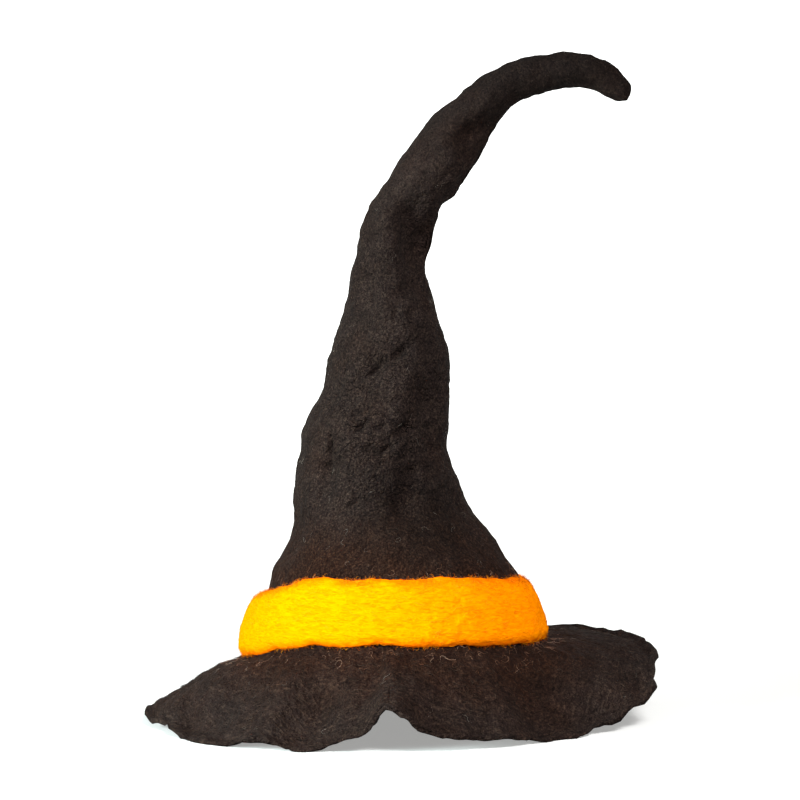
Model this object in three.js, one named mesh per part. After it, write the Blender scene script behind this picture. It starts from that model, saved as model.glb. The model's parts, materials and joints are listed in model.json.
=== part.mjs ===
// A wizard hat of hand-felted wool: a tall crown with a bent, dented peak and a wavy brim, felted in one piece,
// and a thick felt band round the foot of the crown.
// Millimetres, +Z up. The wearer faces -Y, the peak curls over towards +X, and the hat stands on its brim at Z = 0.
// Azimuths are in degrees from +X towards +Y, so the front is at 270 and the back at 90.

import * as THREE from "three";

// Driving dimensions
const OPENING_WIDTH = 184; // across the hollow at the foot of the crown, for a head of about 58 cm
const OPENING_DEPTH = 191; // the same from front to back
const OPENING_ACROSS = -4; // the middle of that hollow
const FELT = 3; // thickness of the felt wall
const WAVE_FADE = 80; // how far up the crown the wave of the band's upper edge dies out
const BAND_GAP = 0.4; // between the band and the felt under it
const BAND_ROUND = 3; // shape of its section: 2 is an ellipse, more is squarer
const SOLID_TIP = 45; // last stretch of the peak, where the felt has no hollow
const TIP_ROUND = 7.5; // length of the rounded end beyond the last section

// Fineness of the facets
const SIDES = 54; // round the hat
const GATHER = 0.5; // how closely the sides gather round the front fold, from 0, even, to 1
const FRONT_FOLD = 268.2; // azimuth of the sharp fold at the front of the brim
const CROWN_STEPS = 40;
const BRIM_STEPS = [1, 0.9, 0.76, 0.58, 0.39, 0.2]; // from the edge of the brim in to the foot of the crown
const SEAT_STEPS = [0, 0.5, 1]; // up the felt under the band
const BAND_STEPS = [0.05, 0.18, 0.39, 0.61, 0.82, 0.95]; // up the band's outer side, closer at its rounded edges
const TIP_SLOPES = [35, 65]; // degrees round the rounded end

// The crown's sections, from the top of the band to the tip: the middle of each, its half sizes, and how many
// degrees it leans over towards +X.
const CROWN = [
  { up: 90, across: -4.5, back: 0, halfWidth: 82, halfDepth: 84, lean: 0 },
  { up: 107, across: -6.5, back: 1, halfWidth: 72.5, halfDepth: 75, lean: 0 },
  { up: 121, across: -7, back: 2, halfWidth: 63.5, halfDepth: 67, lean: 0 },
  { up: 134, across: -12, back: 3, halfWidth: 57.5, halfDepth: 61, lean: 0 },
  { up: 152, across: -15, back: 4, halfWidth: 53.5, halfDepth: 56, lean: 0 },
  { up: 172, across: -17, back: 5, halfWidth: 47.5, halfDepth: 52, lean: 0 },
  { up: 186, across: -15.5, back: 6, halfWidth: 47, halfDepth: 50, lean: 0 },
  { up: 198, across: -12.5, back: 7, halfWidth: 45, halfDepth: 48, lean: 0 },
  { up: 208, across: -9.5, back: 8, halfWidth: 42, halfDepth: 45, lean: 0 },
  { up: 237, across: -7, back: 8, halfWidth: 38, halfDepth: 40, lean: 0 },
  { up: 262, across: -6, back: 8, halfWidth: 30.5, halfDepth: 35, lean: 3 },
  { up: 280, across: -6.5, back: 8, halfWidth: 26.5, halfDepth: 29, lean: 7 },
  { up: 295, across: -6.5, back: 7, halfWidth: 23, halfDepth: 26, lean: 12 },
  { up: 319, across: -0.5, back: 6, halfWidth: 22.5, halfDepth: 24, lean: 20 },
  { up: 340, across: 10.5, back: 5, halfWidth: 20, halfDepth: 22, lean: 32 },
  { up: 368, across: 31, back: 4, halfWidth: 21, halfDepth: 20, lean: 37 },
  { up: 388, across: 46, back: 4, halfWidth: 17, halfDepth: 18, lean: 45 },
  { up: 407.5, across: 67, back: 4, halfWidth: 13, halfDepth: 15, lean: 60 },
  { up: 417.5, across: 95, back: 4, halfWidth: 12, halfDepth: 12.5, lean: 82 },
  { up: 419, across: 118, back: 4, halfWidth: 11, halfDepth: 11, lean: 100 },
  { up: 413.5, across: 134, back: 4, halfWidth: 10, halfDepth: 9.5, lean: 120 },
  { up: 406.5, across: 142, back: 4, halfWidth: 8.5, halfDepth: 8.5, lean: 132 },
];

// Dents in the crown: how far along it from the top of the band, the azimuth, how wide and how deep. A lump has a
// depth below zero.
const DENTS = [
  { along: 38, at: 263, span: 15, depth: 2 },
  { along: 50, at: 285, span: 12, depth: 5 },
  { along: 58, at: 236, span: 9, depth: 2.5 },
  { along: 70, at: 292, span: 12, depth: 6.5 },
  { along: 74, at: 234, span: 10, depth: 5 },
  { along: 83, at: 273, span: 9, depth: 2 },
  { along: 95, at: 296, span: 11, depth: 4.5 },
  { along: 116, at: 305, span: 13, depth: 6 },
  { along: 124, at: 249, span: 7, depth: 2 },
  { along: 139, at: 258, span: 9, depth: 5 },
  { along: 148, at: 282, span: 9, depth: 5 },
  { along: 187, at: 243, span: 10, depth: 2 },
  { along: 190, at: 298, span: 9, depth: 4.5 },
  { along: 220, at: 300, span: 11, depth: 7 },
  { along: 229, at: 246, span: 10, depth: -2.5 },
  { along: 240, at: 280, span: 10, depth: 7 },
  { along: 305, at: 290, span: 10, depth: 4 },
  { along: 60, at: 60, span: 20, depth: 4 },
  { along: 85, at: 120, span: 17, depth: 5 },
  { along: 130, at: 75, span: 15, depth: 4 },
  { along: 165, at: 110, span: 15, depth: 4 },
  { along: 225, at: 70, span: 13, depth: 4 },
  { along: 290, at: 100, span: 12, depth: 3 },
];

// The brim's folds: its width along the felt, the height of its upper side at the edge, and how it falls away to
// there: a droop of 1 is straight, and more is rounder. Below the floor it is flattened where it rests.
const FOLDS = [
  { at: 0, width: 76, edgeUp: 38, droop: 1.1 },
  { at: 10, width: 77, edgeUp: 42, droop: 1.1 },
  { at: 22, width: 78, edgeUp: 43.5, droop: 1.1 },
  { at: 45, width: 76, edgeUp: 41.5, droop: 1.1 },
  { at: 62, width: 75, edgeUp: 28, droop: 1.1 },
  { at: 76, width: 75, edgeUp: 3, droop: 1.1 },
  { at: 92, width: 75, edgeUp: -10, droop: 1.1 },
  { at: 112, width: 75, edgeUp: 8, droop: 1.1 },
  { at: 128, width: 75, edgeUp: 10, droop: 1.1 },
  { at: 150, width: 76, edgeUp: -10, droop: 1.1 },
  { at: 180, width: 76, edgeUp: 2.5, droop: 1.22 },
  { at: 192, width: 75.5, edgeUp: 6, droop: 1.3 },
  { at: 204, width: 76, edgeUp: 6, droop: 1.3 },
  { at: 226, width: 84, edgeUp: -10, droop: 1.1 },
  { at: 239, width: 79, edgeUp: 5, droop: 1.1 },
  { at: 250, width: 79, edgeUp: -6, droop: 1.1 },
  { at: 258, width: 74, edgeUp: 6, droop: 1.1 },
  { at: 264, width: 73, edgeUp: 11, droop: 1.1 },
  { at: 268.2, width: 73, edgeUp: 27, droop: 1.1 },
  { at: 272, width: 73, edgeUp: 22, droop: 1.1 },
  { at: 276, width: 73, edgeUp: 13, droop: 1.1 },
  { at: 290, width: 73, edgeUp: 6, droop: 1.1 },
  { at: 302, width: 71, edgeUp: 3.5, droop: 1.1 },
  { at: 316, width: 71, edgeUp: -8, droop: 1.1 },
  { at: 330, width: 75, edgeUp: 6, droop: 1.1 },
  { at: 340, width: 81, edgeUp: 15, droop: 1.1 },
  { at: 350, width: 78.5, edgeUp: 27, droop: 1.1 },
];

// The hand-trimmed edge of the brim wanders in and out in these waves: how many run round it, where the first one
// starts, and how far they reach.
const TRIM_WAVES = [
  { count: 11, start: 0, reach: 0.7 },
  { count: 17, start: 57, reach: 0.7 },
];

// The band's lower and upper edges round the hat, and how thick it is.
const BAND = [
  { at: 0, low: 52, high: 89, thick: 7.5 },
  { at: 45, low: 52, high: 90, thick: 7.5 },
  { at: 90, low: 48, high: 87, thick: 7.5 },
  { at: 135, low: 44, high: 82, thick: 8.5 },
  { at: 180, low: 40, high: 79, thick: 10 },
  { at: 200, low: 44, high: 83, thick: 9 },
  { at: 225, low: 53, high: 93, thick: 8 },
  { at: 270, low: 57, high: 95, thick: 7.5 },
  { at: 315, low: 55, high: 94, thick: 7.5 },
];

const radians = THREE.MathUtils.degToRad;

// A table's rows as a smooth curve: a function from a place on it to the columns there.
function smoothTable(rows, places, columns, ending = THREE.ZeroCurvatureEnding) {
  const values = rows.flatMap((row) => columns.map((column) => row[column]));
  const curve = new THREE.CubicInterpolant(places, values, columns.length);
  curve.settings = { endingStart: ending, endingEnd: ending };
  return (place) => {
    const found = curve.evaluate(place);
    return Object.fromEntries(columns.map((column, i) => [column, found[i]]));
  };
}

// The same for a table that runs once round the hat and meets itself.
function roundTable(rows, columns) {
  const whole = [...rows, { ...rows[0], at: rows[0].at + 360 }];
  const curve = smoothTable(whole, whole.map((row) => row.at), columns, THREE.WrapAroundEnding);
  return (azimuth) => curve(THREE.MathUtils.euclideanModulo(azimuth, 360));
}

// How far along the crown's middle line each section lies.
function placesAlong(rows) {
  const middles = rows.map((row) => new THREE.Vector3(row.across, row.back, row.up));
  let travelled = 0;
  return middles.map((middle, i) => (travelled += i ? middle.distanceTo(middles[i - 1]) : 0));
}

const crownPlaces = placesAlong(CROWN);
const crownLength = crownPlaces.at(-1);
const crownAt = smoothTable(CROWN, crownPlaces, ["up", "across", "back", "halfWidth", "halfDepth", "lean"]);
const foldAt = roundTable(FOLDS, ["width", "edgeUp", "droop"]);
const bandAt = roundTable(BAND, ["low", "high", "thick"]);

// A point of the crown's outer side before its dents.
function smoothCrownPoint(along, azimuth) {
  const section = crownAt(along);
  const turn = radians(azimuth);
  const lean = radians(section.lean);
  const outX = Math.cos(turn) * section.halfWidth;
  const outY = Math.sin(turn) * section.halfDepth;
  const bandWave = (bandAt(azimuth).high - CROWN[0].up) * Math.max(0, 1 - along / WAVE_FADE) ** 2;
  return new THREE.Vector3(
    section.across + outX * Math.cos(lean),
    section.back + outY,
    section.up - outX * Math.sin(lean) + bandWave,
  );
}

const dentMiddles = DENTS.map((dent) => ({ ...dent, middle: smoothCrownPoint(dent.along, dent.at) }));

// A point of the crown's outer side, pressed in towards the crown's middle line by the dents near it.
function crownPoint(along, azimuth) {
  const point = smoothCrownPoint(along, azimuth);
  const section = crownAt(along);
  const inward = new THREE.Vector3(section.across, section.back, section.up).sub(point).normalize();
  const depth = dentMiddles.reduce(
    (sum, dent) => sum + dent.depth * Math.exp(-((point.distanceTo(dent.middle) / dent.span) ** 2)),
    0,
  );
  return point.addScaledVector(inward, depth);
}

// A point of the felt's outer side under the band, from the foot of the crown at 0 to the top of the band at 1.
function bandSeatPoint(share, azimuth) {
  const turn = radians(azimuth);
  const { low, high } = bandAt(azimuth);
  const foot = new THREE.Vector3(
    OPENING_ACROSS + Math.cos(turn) * (OPENING_WIDTH / 2 + FELT),
    Math.sin(turn) * (OPENING_DEPTH / 2 + FELT),
    low,
  );
  const top = crownPoint(0, azimuth).setZ(high);
  return foot.lerp(top, share);
}

// The level way out from the hat's middle at an azimuth.
const outAt = (azimuth) => new THREE.Vector3(Math.cos(radians(azimuth)), Math.sin(radians(azimuth)), 0);

// A point of the brim's upper side, from the foot of the crown at 0 to the edge at 1. Where the brim droops further
// it reaches out less, as the felt keeps its width.
function brimPoint(share, azimuth) {
  const foot = bandSeatPoint(0, azimuth);
  const { width, edgeUp, droop } = foldAt(azimuth);
  const drop = foot.z - Math.max(edgeUp, FELT);
  const trim = TRIM_WAVES.reduce(
    (sum, wave) => sum + wave.reach * Math.sin(radians(wave.count * azimuth + wave.start)),
    0,
  );
  const reach = Math.sqrt(Math.max(0, width ** 2 - drop ** 2)) + trim;
  const up = foot.z - (foot.z - edgeUp) * share ** droop;
  return foot.addScaledVector(outAt(azimuth), reach * share).setZ(up);
}

// The azimuths of the facets' corners, with one on the front fold and its neighbours gathered round it.
const azimuths = Array.from({ length: SIDES }, (_, side) => {
  const even = (side * 360) / SIDES;
  return FRONT_FOLD + even - THREE.MathUtils.radToDeg(GATHER * Math.sin(radians(even)));
});

// The felt's outer side as rings, from the edge of the brim to the last section of the peak.
const ringOf = (pointAt, share) => azimuths.map((azimuth) => pointAt(share, azimuth));
const brimRings = BRIM_STEPS.map((share) => ringOf(brimPoint, share));
const seatRings = SEAT_STEPS.map((share) => ringOf(bandSeatPoint, share));
const crownRings = Array.from({ length: CROWN_STEPS }, (_, step) =>
  ringOf(crownPoint, ((step + 1) * crownLength) / CROWN_STEPS),
);
const outerRings = [...brimRings, ...seatRings, ...crownRings];

// The middle of a ring.
const middleOf = (ring) => ring.reduce((sum, point) => sum.add(point), new THREE.Vector3()).divideScalar(ring.length);

// A mesh over rings of equal length. Poles close its two ends, and without them the last ring meets the first.
function skin(rings, poles = []) {
  const points = [...rings.flat(), ...poles];
  const sides = rings[0].length;
  const index = [];
  const last = poles.length ? rings.length - 1 : rings.length;
  for (let row = 0; row < last; row++) {
    const here = row * sides;
    const next = ((row + 1) % rings.length) * sides;
    for (let side = 0; side < sides; side++) {
      const beside = (side + 1) % sides;
      index.push(here + side, here + beside, next + beside, here + side, next + beside, next + side);
    }
  }
  poles.forEach((_, end) => {
    const ring = end ? (rings.length - 1) * sides : 0;
    const pole = rings.length * sides + end;
    for (let side = 0; side < sides; side++) {
      const beside = (side + 1) % sides;
      index.push(pole, ring + (end ? side : beside), ring + (end ? beside : side));
    }
  });
  const geometry = new THREE.BufferGeometry().setFromPoints(points).setIndex(index);
  geometry.computeVertexNormals();
  return geometry;
}

// The direction straight out of the felt at each corner of the outer rings.
function outwardRings(rings) {
  const normals = skin(rings, [middleOf(rings[0]), middleOf(rings.at(-1))]).getAttribute("normal");
  return rings.map((ring, row) =>
    ring.map((_, side) => new THREE.Vector3().fromBufferAttribute(normals, row * SIDES + side)),
  );
}

const outward = outwardRings(outerRings);

// The felt wall from the end of the hollow down its inner side, round the edge of the brim and up its outer side.
function feltWall() {
  const hollowRows = outerRings.length - Math.ceil((SOLID_TIP / crownLength) * CROWN_STEPS);
  const onFloor = (ring, lowest) => ring.map((point) => point.clone().setZ(Math.max(point.z, lowest)));
  const inner = outerRings
    .slice(0, hollowRows)
    .map((ring, row) => ring.map((point, side) => point.clone().addScaledVector(outward[row][side], -FELT)))
    .map((ring) => onFloor(ring, 0));
  const outer = outerRings.map((ring) => onFloor(ring, FELT));
  const edge = outer[0].map((point, side) =>
    point.clone().lerp(inner[0][side], 0.5).addScaledVector(outAt(azimuths[side]), FELT / 3),
  );
  const lastLean = radians(CROWN.at(-1).lean);
  const tipWay = new THREE.Vector3(Math.sin(lastLean), 0, Math.cos(lastLean));
  const lastMiddle = middleOf(outer.at(-1));
  const tipRings = TIP_SLOPES.map(radians).map((slope) =>
    outer.at(-1).map((point) =>
      lastMiddle.clone().lerp(point, Math.cos(slope)).addScaledVector(tipWay, TIP_ROUND * Math.sin(slope)),
    ),
  );
  const hollowEnd = middleOf(inner.at(-1));
  const tip = lastMiddle.clone().addScaledVector(tipWay, TIP_ROUND);
  return skin([...inner.reverse(), edge, ...outer, ...tipRings], [hollowEnd, tip]);
}

// The band: its inner side follows the felt, and its outer side swells out between rounded edges.
function bandRing() {
  const beyondSeat = (share, side, distance) =>
    bandSeatPoint(share, azimuths[side]).addScaledVector(outAt(azimuths[side]), distance);
  const swell = (share) => (1 - Math.abs(2 * share - 1) ** BAND_ROUND) ** (1 / BAND_ROUND);
  const inner = SEAT_STEPS.map((share) => azimuths.map((_, side) => beyondSeat(share, side, BAND_GAP)));
  const outer = BAND_STEPS.map((share) =>
    azimuths.map((azimuth, side) => beyondSeat(share, side, BAND_GAP + bandAt(azimuth).thick * swell(share))),
  );
  return skin([...inner.reverse(), ...outer]);
}

const blackFelt = new THREE.MeshStandardMaterial({ color: 0x231d1a, roughness: 0.95, metalness: 0 });
const orangeFelt = new THREE.MeshStandardMaterial({ color: 0xff9a08, roughness: 0.95, metalness: 0 });

function piece(name, geometry, material) {
  const mesh = new THREE.Mesh(geometry, material);
  mesh.name = name;
  return mesh;
}

const hat = new THREE.Group();
hat.add(piece("crown_and_brim", feltWall(), blackFelt));
hat.add(piece("hat_band", bandRing(), orangeFelt));

// The origin is on the floor, under the middle of the hat's box.
const middle = new THREE.Box3().setFromObject(hat).getCenter(new THREE.Vector3());
hat.position.set(-middle.x, -middle.y, 0);

export default hat;
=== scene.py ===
"""Looks of a hand-felted wizard hat: felt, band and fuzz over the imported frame, in a plain pale studio."""

import json
import logging
import math
from collections.abc import Callable
from dataclasses import dataclass
from enum import Enum
from functools import partial
from typing import Any

import bpy
import numpy as np
from bpy.types import Collection, Material, Node, NodeSocket, NodeTree, Object
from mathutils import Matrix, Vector
from mathutils.bvhtree import BVHTree

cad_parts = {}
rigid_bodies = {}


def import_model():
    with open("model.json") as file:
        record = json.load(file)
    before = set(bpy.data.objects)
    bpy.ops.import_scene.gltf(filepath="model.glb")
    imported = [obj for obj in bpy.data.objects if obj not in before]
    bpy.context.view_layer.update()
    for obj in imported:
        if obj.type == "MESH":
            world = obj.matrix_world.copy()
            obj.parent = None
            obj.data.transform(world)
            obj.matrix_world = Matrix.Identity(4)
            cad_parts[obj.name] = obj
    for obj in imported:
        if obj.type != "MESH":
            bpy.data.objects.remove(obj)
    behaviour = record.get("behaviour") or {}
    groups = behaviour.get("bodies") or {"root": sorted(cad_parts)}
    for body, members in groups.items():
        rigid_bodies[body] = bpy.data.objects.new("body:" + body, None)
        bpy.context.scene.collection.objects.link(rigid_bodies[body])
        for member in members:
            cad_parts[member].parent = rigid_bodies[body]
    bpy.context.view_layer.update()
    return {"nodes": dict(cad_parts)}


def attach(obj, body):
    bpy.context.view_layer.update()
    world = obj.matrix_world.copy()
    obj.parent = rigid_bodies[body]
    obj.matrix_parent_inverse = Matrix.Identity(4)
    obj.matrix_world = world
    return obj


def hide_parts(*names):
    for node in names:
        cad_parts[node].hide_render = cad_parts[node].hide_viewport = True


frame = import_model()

LOG = logging.getLogger("wizard_hat")
MM = 0.001
ROOT = "root"
LEVEL_PART = (1.0, 1.0, 0.0)
Colour = tuple[float, float, float, float]
Triple = tuple[float, float, float]
Source = Node | NodeSocket
Adder = Callable[..., Node]


def linear(code: str) -> Colour:
    """Turn an sRGB colour into Blender's linear one.

    Args:
        code: The colour as "#rrggbb".

    Returns:
        Red, green and blue in linear light, and an alpha of 1.
    """
    parts = [int(code[i:i + 2], 16) / 255 for i in (1, 3, 5)]
    red, green, blue = (p / 12.92 if p <= 0.04045 else ((p + 0.055) / 1.055) ** 2.4 for p in parts)
    return red, green, blue, 1.0


def add_node(tree: NodeTree, kind: str, inputs: dict[str | int, Any] | None = None, **settings: Any) -> Node:
    """Add a node with its settings, constants and links.

    Args:
        tree: The node tree that gets the node.
        kind: The node's type; a shader node's is given without "ShaderNode".
        inputs: What each input takes, by its place or by its name among the inputs in use: a constant, a
            socket, or a node for its first output in use.
        **settings: The node's own properties.

    Returns:
        The new node.
    """
    node = tree.nodes.new(kind if "Node" in kind else "ShaderNode" + kind)
    for name, value in settings.items():
        setattr(node, name, value)
    for key, value in (inputs or {}).items():
        if isinstance(key, str):
            key = next(i for i, socket in enumerate(node.inputs) if socket.name == key and socket.enabled)
        if isinstance(value, Node):
            value = next(output for output in value.outputs if output.enabled)
        if isinstance(value, NodeSocket):
            tree.links.new(value, node.inputs[key])
        else:
            node.inputs[key].default_value = value
    return node


def fibre_lines(add: Adder, place: Source, spacing: float, width: float) -> Node:
    """Draw thin curly lines, like fibres that lie matted on a felt's surface.

    Args:
        add: Adds a node to the material.
        place: The coordinates to draw in.
        spacing: The distance from line to line, in units of the coordinates.
        width: The line's width as a share of the noise's range.

    Returns:
        1 on a line, falling to 0 beside it.
    """
    field = add("TexNoise", {"Vector": place, "Scale": 1 / spacing, "Detail": 1.0, "Distortion": 0.9})
    off = add("Math", {0: field, 1: 0.5}, operation="SUBTRACT")
    away = add("Math", {0: off}, operation="ABSOLUTE")
    return add("MapRange", {"Value": away, "From Max": width, "To Min": 1.0, "To Max": 0.0},
               interpolation_type="SMOOTHSTEP")


def round_the_hat(add: Adder, place: NodeSocket, radius: float, along: float, across: float,
                  upright: bool) -> Node:
    """Lay coordinates round the hat, so that a pattern can be long that way and has no seam.

    Args:
        add: Adds a node to the material.
        place: The object's own coordinates.
        radius: The hat's radius where the pattern's length is right.
        along: The pattern's length round the hat.
        across: Its width, the other way on the surface.
        upright: Whether that way is up, as on the band, and not out, as on the brim.

    Returns:
        The coordinates, one unit to a length or width.
    """
    flat = add("VectorMath", {0: place, 1: LEVEL_PART}, operation="MULTIPLY")
    way = add("VectorMath", {0: flat}, operation="NORMALIZE")
    turn = add("VectorMath", {0: way, "Scale": radius / along}, operation="SCALE")
    if upright:
        step = add("VectorMath", {0: place, 1: (0.0, 0.0, 1 / across)}, operation="MULTIPLY")
    else:
        out = add("VectorMath", {0: flat}, operation="LENGTH")
        rows = add("Math", {0: out, 1: 1 / across}, operation="MULTIPLY")
        step = add("CombineXYZ", {"Z": rows})
    return add("VectorMath", {0: turn, 1: step}, operation="ADD")


def mottle(add: Adder, least: float, most: float) -> Node:
    """Vary wool softly in patches 14 mm across, where it was laid thinner or thicker.

    Args:
        add: Adds a node to the material.
        least: The darkest patch's factor.
        most: The palest patch's factor.

    Returns:
        The factor for the wool's colour.
    """
    place = add("TexCoord").outputs["Object"]
    cloud = add("TexNoise", {"Vector": place, "Scale": 1 / (14 * MM), "Detail": 1.5})
    return add("MapRange", {
        "Value": cloud, "From Min": 0.35, "From Max": 0.65, "To Min": least, "To Max": most})


@dataclass(frozen=True)
class Finish:
    """A procedural material.

    Attributes:
        name: The real material's name.
    """

    name: str

    def material(self) -> Material:
        """Make the material.

        Returns:
            The material, with the finish's shader on its surface.
        """
        made = bpy.data.materials.new(self.name)
        made.use_nodes = True
        made.node_tree.nodes.clear()
        add = partial(add_node, made.node_tree)
        add("OutputMaterial", {"Surface": self.shader(add)})
        return made

    def shader(self, add: Adder) -> Node:
        """Build the shader: each finish has its own."""
        raise NotImplementedError


@dataclass(frozen=True)
class BlackFelt(Finish):
    """Brown-black wool, felted by hand: matte, speckled on the crown and in wavy fibres on the brim.

    Attributes:
        painted_pit_shade: Colour of the gaps between the fibres, a painted shade in the grain's hollows.
        wool: Colour of most of the wool.
        fibre: Colour of the paler fibres.
        warmth: Tint of the browner wool round the band.
        grain: Size of the matted wool's grain, drawn coarse so that it shows at the picture's size.
        streak: Length of the streaks in which the wool lies round the brim.
        brim: Radius of the brim where the streaks have that length.
        apart: Distance between single fibres, drawn 0.3 mm wide so that they show.
        cloud: Size of the patches of browner wool.
        lumps: Size of the felt's lumps.
        wrinkles: Distance between the wrinkles.
        wrinkled: The middle of the wrinkles.
        patch: The middle of the patch of painted shade on the foot of the crown's front.
    """

    name: str = "black wool felt"
    painted_pit_shade: str = "#110c0b"
    wool: str = "#201816"
    fibre: str = "#43372f"
    warmth: str = "#ffd4b8"
    grain: float = 1.4 * MM
    streak: float = 6 * MM
    brim: float = 130 * MM
    apart: float = 3 * MM
    cloud: float = 30 * MM
    lumps: float = 5 * MM
    wrinkles: float = 10 * MM
    wrinkled: Triple = (-14 * MM, -50 * MM, 190 * MM)
    patch: Triple = (10 * MM, -50 * MM, 136 * MM)

    def shader(self, add: Adder) -> Node:
        """Build the shader, in the object's own coordinates.

        Args:
            add: Adds a node to the material.

        Returns:
            The felt's shader.
        """
        place = add("TexCoord").outputs["Object"]
        height = add("SeparateXYZ", {"Vector": place}).outputs["Z"]
        grain = add("TexNoise", {"Vector": place, "Scale": 1 / self.grain, "Detail": 2.0, "Roughness": 0.65})
        # On the brim more fibres lie round the hat, in wavy streaks.
        rows = round_the_hat(add, place, self.brim, self.streak, self.grain, upright=False)
        streak = add("TexNoise", {"Vector": rows, "Scale": 1.0, "Detail": 2.0, "Distortion": 1.0})
        crown = add("MapRange", {"Value": height, "From Min": 45 * MM, "From Max": 75 * MM, "To Min": 0.4},
                    interpolation_type="SMOOTHSTEP")
        wool = add("Mix", {"Factor": crown, "A": streak, "B": grain}, data_type="FLOAT")
        lumps = add("TexNoise", {"Vector": place, "Scale": 1 / self.lumps, "Detail": 2.0})
        raised = add("Math", {0: lumps, 1: 2.2, 2: wool}, operation="MULTIPLY_ADD")
        # Short creases where the felt has wrinkled, most of them on the middle of the crown's front.
        creases = fibre_lines(add, place, self.wrinkles, 0.03)
        away = add("VectorMath", {0: place, 1: self.wrinkled}, operation="DISTANCE")
        sunk = add("MapRange", {
            "Value": away, "From Min": 25 * MM, "From Max": 60 * MM, "To Min": -0.8, "To Max": -0.15})
        creased = add("Math", {0: creases, 1: sunk, 2: raised}, operation="MULTIPLY_ADD")
        # The felt is smoother towards the peak.
        smooth = add("MapRange", {
            "Value": height, "From Min": 300 * MM, "From Max": 400 * MM, "To Min": 1.0, "To Max": 0.4})
        bump = add("Bump", {"Height": creased, "Strength": smooth, "Distance": 2.6 * MM})
        colour = self.colour(add, place, height, crown, wool)
        return add("BsdfPrincipled", {
            "Base Color": colour, "Normal": bump, "Roughness": 0.95, "Specular IOR Level": 0.05})

    def colour(self, add: Adder, place: Source, height: Source, crown: Source, wool: Source) -> Node:
        """Colour the felt.

        Args:
            add: Adds a node to the material.
            place: The object's own coordinates.
            height: The height above the floor.
            crown: 1 on the crown, falling to 0.4 on the brim.
            wool: The wool's grain.

        Returns:
            The colour.
        """
        # Painted shade: where the grain is lowest, in the bump's hollows, the wool darkens to the pit colour.
        pit_shade_mask = add("MapRange", {"Value": wool, "From Min": 0.48, "From Max": 0.32})
        dark = add("Mix", {"Factor": pit_shade_mask, "A": linear(self.wool), "B": linear(self.painted_pit_shade)}, data_type="RGBA")
        # The wool is matted closer higher up, so fewer pale fibres stand out there.
        close = add("MapRange", {
            "Value": height, "From Min": 180 * MM, "From Max": 390 * MM, "To Min": 0.85, "To Max": 0.25})
        specks = add("MapRange", {"Value": wool, "From Min": 0.54, "From Max": 0.72, "To Max": close})
        pale = add("Mix", {"Factor": specks, "A": dark, "B": linear(self.fibre)}, data_type="RGBA")
        # Single fibres lie on top, a few more of them on the brim.
        lines = fibre_lines(add, place, self.apart, 0.045)
        loose = add("MapRange", {"Value": crown, "From Min": 0.4, "To Min": 0.45, "To Max": 0.4})
        share = add("Math", {0: lines, 1: loose}, operation="MULTIPLY")
        lined = add("Mix", {"Factor": share, "A": pale, "B": linear(self.fibre)}, data_type="RGBA")
        # Browner wool was laid in patches, most of it on both sides of the band.
        foot = add("MapRange", {
            "Value": height, "From Min": 95 * MM, "From Max": 150 * MM, "To Min": 0.95, "To Max": 0.0})
        flat = add("VectorMath", {0: place, 1: LEVEL_PART}, operation="MULTIPLY")
        out = add("VectorMath", {0: flat}, operation="LENGTH")
        near = add("MapRange", {
            "Value": out, "From Min": 108 * MM, "From Max": 135 * MM, "To Min": 1.0, "To Max": 0.15})
        low = add("Math", {0: foot, 1: near}, operation="MULTIPLY")
        cloud = add("TexNoise", {"Vector": place, "Scale": 1 / self.cloud, "Detail": 2.0})
        uneven = add("Math", {0: cloud, 1: 1.1, 2: -0.5}, operation="MULTIPLY_ADD")
        brown = add("Math", {0: low, 1: uneven}, operation="ADD", use_clamp=True)
        warm = add("Mix", {"Factor": brown, "A": lined, "B": linear(self.warmth)}, data_type="RGBA",
                   blend_type="MULTIPLY")
        # Painted shade: darker towards the end of the peak and in a patch on the foot of the crown's front.
        peak = add("MapRange", {
            "Value": height, "From Min": 355 * MM, "From Max": 415 * MM, "To Min": 1.0, "To Max": 0.5})
        # Painted shade: a soft dark patch round the given middle.
        gap = add("VectorMath", {0: place, 1: self.patch}, operation="DISTANCE")
        painted_patch_shade = add("MapRange", {"Value": gap, "From Min": 15 * MM, "From Max": 54 * MM, "To Min": 0.64},
                   interpolation_type="SMOOTHSTEP")
        painted_shade = add("Math", {0: peak, 1: painted_patch_shade}, operation="MULTIPLY")
        # The painted shade is then varied by the wool's own mottling.
        shade = add("Math", {0: painted_shade, 1: mottle(add, 0.87, 1.12)}, operation="MULTIPLY")
        return add("Mix", {"Factor": 1.0, "A": warm, "B": shade}, data_type="RGBA", blend_type="MULTIPLY")


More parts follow.
